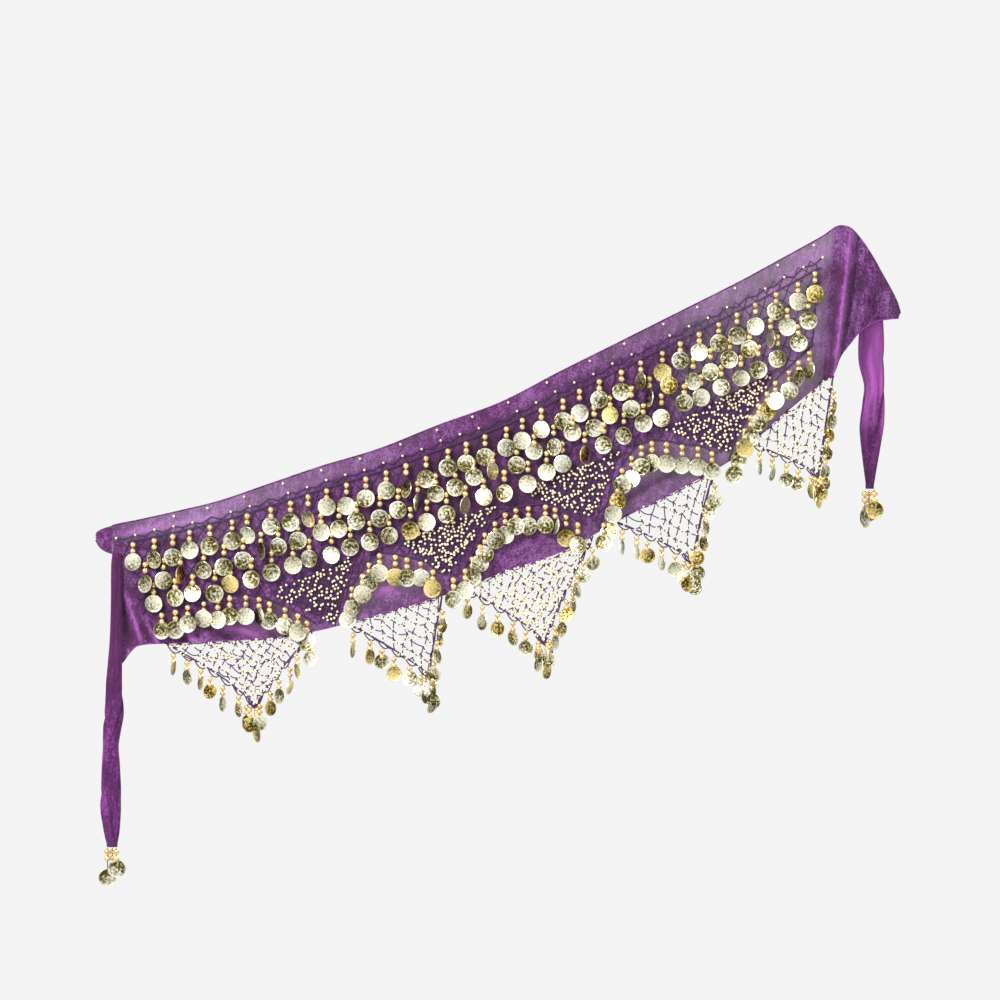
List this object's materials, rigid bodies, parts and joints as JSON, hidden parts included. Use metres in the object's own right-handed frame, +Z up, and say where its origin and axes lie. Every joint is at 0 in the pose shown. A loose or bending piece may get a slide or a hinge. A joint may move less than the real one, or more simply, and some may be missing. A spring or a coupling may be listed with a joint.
{
  "type": "belly dance hip scarf",
  "caption": "Sheer hip scarf with rows of coin drops, crochet net points and two hanging ties, held up by both ends on a slope.",
  "frame": {"origin": "where a hand holds the rolled left end of the band, on the cloth", "axes": "+X to the right as the front is seen, +Z up, the front with the coins faces -Y"},
  "size_m": [0.7913, 0.0583, 0.6467],
  "materials": {
    "chiffon": "sheer woven cloth",
    "yarn": "crocheted thread",
    "coin_gold": "polished, embossed"
  },
  "bodies": {
    "root": {"band": "chiffon", "tie_left": "chiffon", "tie_right": "chiffon", "coin_row_top": "coin_gold", "coin_row_middle": "coin_gold", "coin_row_lower": "coin_gold", "scallop_1": "coin_gold", "scallop_2": "coin_gold", "scallop_3": "coin_gold", "scallop_4": "coin_gold", "scallop_5": "coin_gold", "net_1": "yarn", "net_1_drops": "coin_gold", "net_2": "yarn", "net_2_drops": "coin_gold", "net_3": "yarn", "net_3_drops": "coin_gold", "net_4": "yarn", "net_4_drops": "coin_gold", "net_5": "yarn", "net_5_drops": "coin_gold", "tassel_left": "coin_gold", "tassel_right": "coin_gold"}
  },
  "joints": []
}
